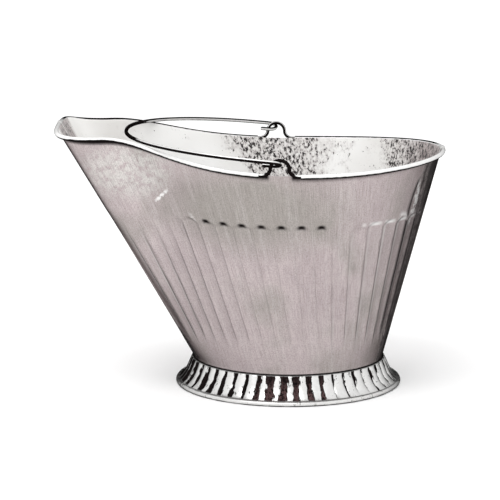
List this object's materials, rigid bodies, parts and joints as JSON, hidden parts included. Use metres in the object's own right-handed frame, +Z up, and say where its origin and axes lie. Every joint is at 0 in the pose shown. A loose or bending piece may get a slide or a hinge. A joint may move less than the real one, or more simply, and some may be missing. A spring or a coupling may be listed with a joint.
{
  "type": "coal hod",
  "caption": "Galvanised coal hod with a pouring spout, fluted tapered body, wired rim, crimped flared foot and a swinging wire bail.",
  "frame": {"origin": "on the floor, under the middle of the hod's length", "axes": "+Z up, the spout points along -X, the rear of the mouth along +X, the near side is -Y"},
  "size_m": [0.4248, 0.3412, 0.2902],
  "materials": {
    "body_sheet": "galvanised sheet, dull spangle with fine vertical drawing streaks",
    "bright_sheet": "galvanised sheet, brighter and smoother",
    "wire": "galvanised wire, smooth and dull"
  },
  "bodies": {
    "hod": {"near_shell": "body_sheet", "far_shell": "body_sheet", "rim_wire": "wire", "bottom_disc": "bright_sheet", "foot_ring": "bright_sheet", "foot_wire": "wire"},
    "bail": {"bail": "wire"}
  },
  "joints": [
    {"name": "bail_swing", "type": "hinge", "parent": "hod", "child": "bail", "pos_m": [0.02907, 0, 0.26396], "axis": [0, 1, 0], "range_deg": [0, 175.1]}
  ]
}
